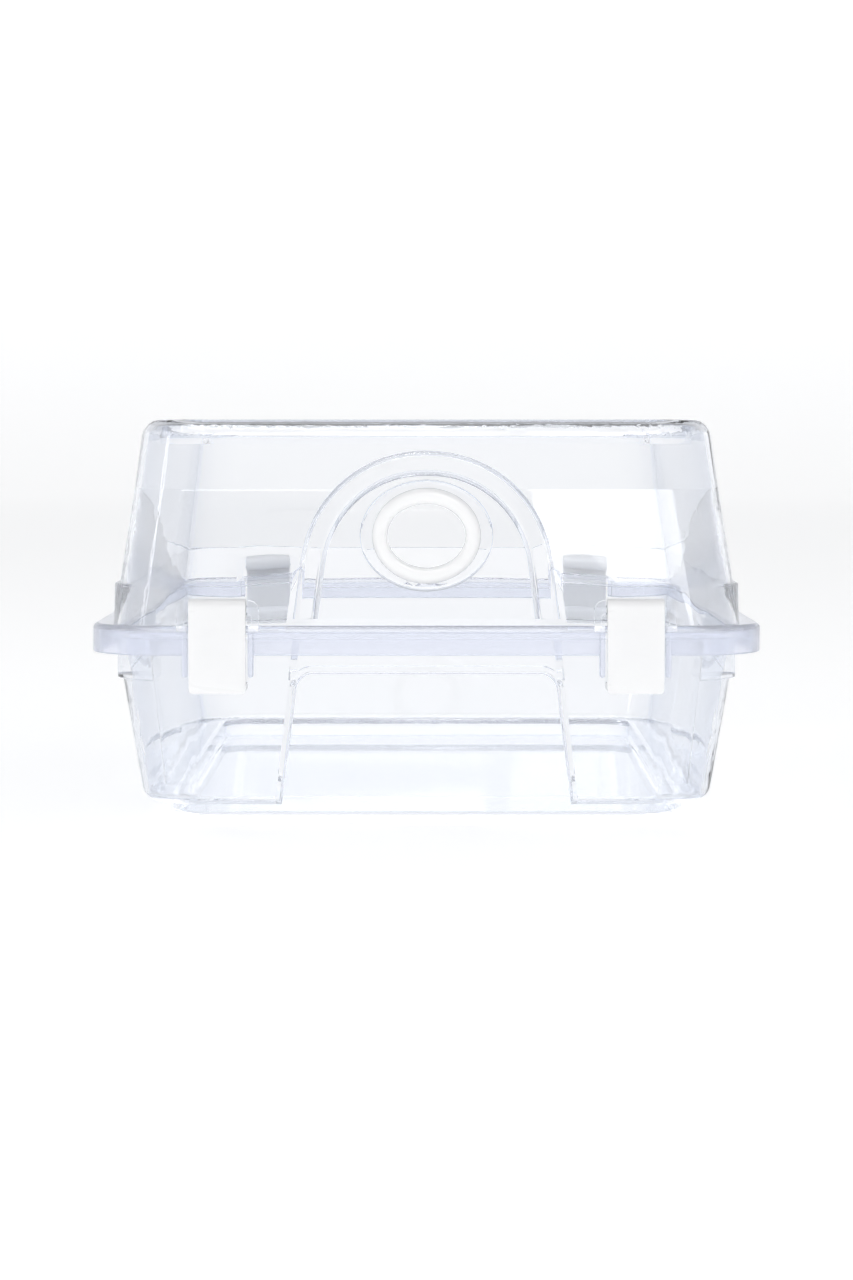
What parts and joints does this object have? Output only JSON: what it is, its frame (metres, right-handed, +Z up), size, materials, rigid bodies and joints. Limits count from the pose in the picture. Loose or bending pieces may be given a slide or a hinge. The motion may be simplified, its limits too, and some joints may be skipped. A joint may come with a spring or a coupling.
{
  "type": "shoe storage box",
  "caption": "Clear plastic shoe box: tapered tub, hinged hood lid with an arched niche and oval vent ring, and snap latches on the front.",
  "frame": {"origin": "under the middle of the closed box, on the surface it stands on", "axes": "+X to the right seen from the front, +Y towards the rear hinge, +Z up; the latches and the vent ring face -Y"},
  "size_m": [0.23, 0.3378, 0.14],
  "materials": {
    "clear_tub": "clear gloss",
    "clear_lid": "clear gloss",
    "white_ring": "gloss white",
    "white_latch": "satin white"
  },
  "bodies": {
    "tub": {"tub": "clear_tub"},
    "lid": {"lid": "clear_lid", "vent_ring": "white_ring", "rear_left_hinge_clip": "white_latch", "rear_right_hinge_clip": "white_latch"},
    "left_latch": {"front_left_latch": "white_latch"},
    "right_latch": {"front_right_latch": "white_latch"}
  },
  "joints": [
    {"name": "lid_hinge", "type": "hinge", "parent": "tub", "child": "lid", "pos_m": [0, 0.165, 0.053], "axis": [-1, 0, 0], "range_deg": [0, 100]},
    {"name": "left_latch_hinge", "type": "hinge", "parent": "lid", "child": "left_latch", "pos_m": [-0.0705, -0.165, 0.0758], "axis": [-1, 0, 0], "range_deg": [0, 110]},
    {"name": "right_latch_hinge", "type": "hinge", "parent": "lid", "child": "right_latch", "pos_m": [0.0705, -0.165, 0.0758], "axis": [-1, 0, 0], "range_deg": [0, 110]}
  ]
}
